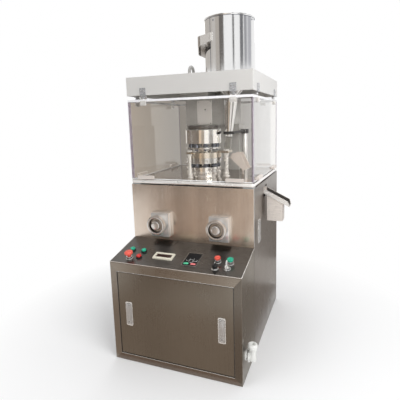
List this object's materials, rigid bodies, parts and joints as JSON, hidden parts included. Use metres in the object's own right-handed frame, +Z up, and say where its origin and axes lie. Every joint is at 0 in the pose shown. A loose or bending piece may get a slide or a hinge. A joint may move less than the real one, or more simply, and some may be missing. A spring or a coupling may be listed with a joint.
{
  "type": "rotary tablet press",
  "caption": "Floor-standing rotary tablet press: stainless cabinet, sloped control console, two hand knobs, clear hinged guards round a punch turret, top hopper and side chute.",
  "frame": {"origin": "centre of the footprint of cabinet and body, on the floor", "axes": "+Z up, -Y towards the operator, +X to the operator's right"},
  "size_m": [0.7795, 0.8405, 1.625],
  "materials": {
    "panel_steel": "vertical brushed, satin",
    "cover_paint": "satin, pale grey",
    "console_steel": "semi-gloss, dark grey",
    "deck_steel": "polished",
    "frame_steel": "satin",
    "casting": "light machine enamel",
    "polished_steel": "mirror polished",
    "tool_steel": "ground",
    "feed_brass": "pale, worn",
    "bronze": "machined",
    "clear_acrylic": "clear",
    "tube_plastic": "translucent",
    "white_plastic": "gloss",
    "red_plastic": "gloss",
    "green_plastic": "gloss",
    "black_plastic": "matte",
    "cream_plastic": "satin",
    "silver_metal": "satin",
    "belt_rubber": "matte",
    "motor_paint": "satin"
  },
  "bodies": {
    "frame": {"base_frame": "frame_steel", "left_side_panel": "panel_steel", "right_side_panel": "panel_steel", "rear_panel": "panel_steel", "front_panel": "panel_steel", "cabinet_shell": "panel_steel", "console_panel": "console_steel", "deck": "deck_steel", "top_cover": "cover_paint", "head_frame": "casting", "lifting_eye": "silver_metal", "upper_cam_drum": "polished_steel", "lower_cam_housing": "polished_steel", "feed_frame": "feed_brass", "feed_posts": "polished_steel", "hopper": "polished_steel", "hopper_handle": "panel_steel", "feed_tube": "tube_plastic", "feed_support": "polished_steel", "inner_chute": "cream_plastic", "discharge_chute": "panel_steel", "hinge_plates": "silver_metal", "control_bezels": "silver_metal", "meter": "cream_plastic", "keypad": "black_plastic", "cable_inlet": "white_plastic", "motor": "motor_paint", "drive_belt": "belt_rubber", "gear_case": "frame_steel"},
    "turret": {"turret": "polished_steel", "dies": "tool_steel", "upper_punches": "tool_steel", "lower_punches": "tool_steel", "main_shaft": "tool_steel", "worm_wheel": "bronze"},
    "worm": {"worm_shaft": "tool_steel", "drive_pulley": "casting"},
    "motor_rotor": {"motor_pulley": "casting"},
    "upper_roller": {"upper_roller": "tool_steel"},
    "lower_roller": {"lower_roller": "tool_steel"},
    "fill_knob": {"fill_knob": "polished_steel"},
    "pressure_knob": {"pressure_knob": "polished_steel"},
    "fill_nut": {"fill_nut": "bronze"},
    "pressure_nut": {"pressure_nut": "bronze"},
    "front_window": {"front_window": "clear_acrylic"},
    "left_window": {"left_window": "clear_acrylic"},
    "right_window": {"right_window": "clear_acrylic"},
    "rear_window": {"rear_window": "clear_acrylic"},
    "front_door": {"front_door": "panel_steel"},
    "left_latch": {"left_latch": "silver_metal"},
    "right_latch": {"right_latch": "silver_metal"},
    "side_latch": {"side_latch": "silver_metal"},
    "estop_button": {"estop_button": "red_plastic"},
    "jog_button": {"jog_button": "green_plastic"},
    "run_button": {"run_button": "green_plastic"},
    "reset_button": {"reset_button": "red_plastic"},
    "stop_button": {"stop_button": "red_plastic"},
    "start_button": {"start_button": "green_plastic"},
    "selector_knob": {"selector_knob": "black_plastic"},
    "key": {"key": "silver_metal"}
  },
  "joints": [
    {"name": "turret_spin", "type": "hinge", "parent": "frame", "child": "turret", "pos_m": [0, 0.0275, 0.9], "axis": [0, 0, 1], "continuous": true},
    {"name": "worm_spin", "type": "hinge", "parent": "frame", "child": "worm", "pos_m": [0, 0.1355, 0.71], "axis": [1, 0, 0], "continuous": true},
    {"name": "motor_spin", "type": "hinge", "parent": "frame", "child": "motor_rotor", "pos_m": [-0.225, 0.1355, 0.16], "axis": [1, 0, 0], "continuous": true},
    {"name": "upper_roller_spin", "type": "hinge", "parent": "frame", "child": "upper_roller", "pos_m": [0, 0.0975, 1.063], "axis": [0, 1, 0], "continuous": true},
    {"name": "lower_roller_spin", "type": "hinge", "parent": "frame", "child": "lower_roller", "pos_m": [0, 0.0975, 0.8815], "axis": [0, 1, 0], "continuous": true},
    {"name": "fill_turn", "type": "hinge", "parent": "frame", "child": "fill_knob", "pos_m": [-0.155, -0.22, 0.637], "axis": [0, 1, 0], "range_deg": [-900, 900]},
    {"name": "fill_nut_slide", "type": "slide", "parent": "frame", "child": "fill_nut", "axis": [0, -1, 0], "range_m": [-0.0075, 0.0075]},
    {"name": "pressure_turn", "type": "hinge", "parent": "frame", "child": "pressure_knob", "pos_m": [0.155, -0.22, 0.637], "axis": [0, 1, 0], "range_deg": [-900, 900]},
    {"name": "pressure_nut_slide", "type": "slide", "parent": "frame", "child": "pressure_nut", "axis": [0, -1, 0], "range_m": [-0.0075, 0.0075]},
    {"name": "front_window_hinge", "type": "hinge", "parent": "frame", "child": "front_window", "pos_m": [0, -0.18, 1.256], "axis": [-1, 0, 0], "range_deg": [0, 95]},
    {"name": "rear_window_hinge", "type": "hinge", "parent": "frame", "child": "rear_window", "pos_m": [0, 0.405, 1.256], "axis": [1, 0, 0], "range_deg": [0, 95]},
    {"name": "right_window_hinge", "type": "hinge", "parent": "frame", "child": "right_window", "pos_m": [0.3125, 0.1125, 1.256], "axis": [0, -1, 0], "range_deg": [0, 95]},
    {"name": "left_window_hinge", "type": "hinge", "parent": "frame", "child": "left_window", "pos_m": [-0.3125, 0.1125, 1.256], "axis": [0, 1, 0], "range_deg": [0, 95]},
    {"name": "door_tilt", "type": "hinge", "parent": "frame", "child": "front_door", "pos_m": [0, -0.4095, 0.039], "axis": [1, 0, 0], "range_deg": [0, 60]},
    {"name": "left_latch_hinge", "type": "hinge", "parent": "front_door", "child": "left_latch", "pos_m": [-0.23, -0.415, 0.2945], "axis": [-1, 0, 0], "range_deg": [0, 45]},
    {"name": "right_latch_hinge", "type": "hinge", "parent": "front_door", "child": "right_latch", "pos_m": [0.23, -0.415, 0.2945], "axis": [-1, 0, 0], "range_deg": [0, 45]},
    {"name": "side_latch_hinge", "type": "hinge", "parent": "frame", "child": "side_latch", "pos_m": [0.324, -0.0855, 0.6475], "axis": [0, -1, 0], "range_deg": [0, 45]},
    {"name": "estop_press", "type": "slide", "parent": "frame", "child": "estop_button", "axis": [0, 0.2128, -0.9771], "range_m": [0, 0.005], "stiffness_N_per_m": 300, "springref_m": -0.005},
    {"name": "jog_press", "type": "slide", "parent": "frame", "child": "jog_button", "axis": [0, 0.2128, -0.9771], "range_m": [0, 0.002], "stiffness_N_per_m": 200, "springref_m": -0.005},
    {"name": "run_press", "type": "slide", "parent": "frame", "child": "run_button", "axis": [0, 0.2128, -0.9771], "range_m": [0, 0.002], "stiffness_N_per_m": 200, "springref_m": -0.005},
    {"name": "reset_press", "type": "slide", "parent": "frame", "child": "reset_button", "axis": [0, 0.2128, -0.9771], "range_m": [0, 0.002], "stiffness_N_per_m": 200, "springref_m": -0.005},
    {"name": "stop_press", "type": "slide", "parent": "frame", "child": "stop_button", "axis": [0, 0.2128, -0.9771], "range_m": [0, 0.003], "stiffness_N_per_m": 200, "springref_m": -0.005},
    {"name": "start_press", "type": "slide", "parent": "frame", "child": "start_button", "axis": [0, 0.2128, -0.9771], "range_m": [0, 0.003], "stiffness_N_per_m": 200, "springref_m": -0.005},
    {"name": "selector_turn", "type": "hinge", "parent": "frame", "child": "selector_knob", "pos_m": [0.19, -0.37048, 0.50615], "axis": [0, -0.2128, 0.9771], "range_deg": [-45, 45]},
    {"name": "key_turn", "type": "hinge", "parent": "frame", "child": "key", "pos_m": [0.244, -0.36365, 0.50764], "axis": [0, -0.2128, 0.9771], "range_deg": [0, 90]}
  ],
  "couplings": [
    {"joint": "worm_spin", "follows": "turret_spin", "ratio": 20},
    {"joint": "motor_spin", "follows": "turret_spin", "ratio": 32},
    {"joint": "upper_roller_spin", "follows": "turret_spin", "ratio": 3.5},
    {"joint": "lower_roller_spin", "follows": "turret_spin", "ratio": -3.5},
    {"joint": "fill_nut_slide", "follows": "fill_turn", "m_per_rad": 0.00047746},
    {"joint": "pressure_nut_slide", "follows": "pressure_turn", "m_per_rad": 0.00047746}
  ]
}
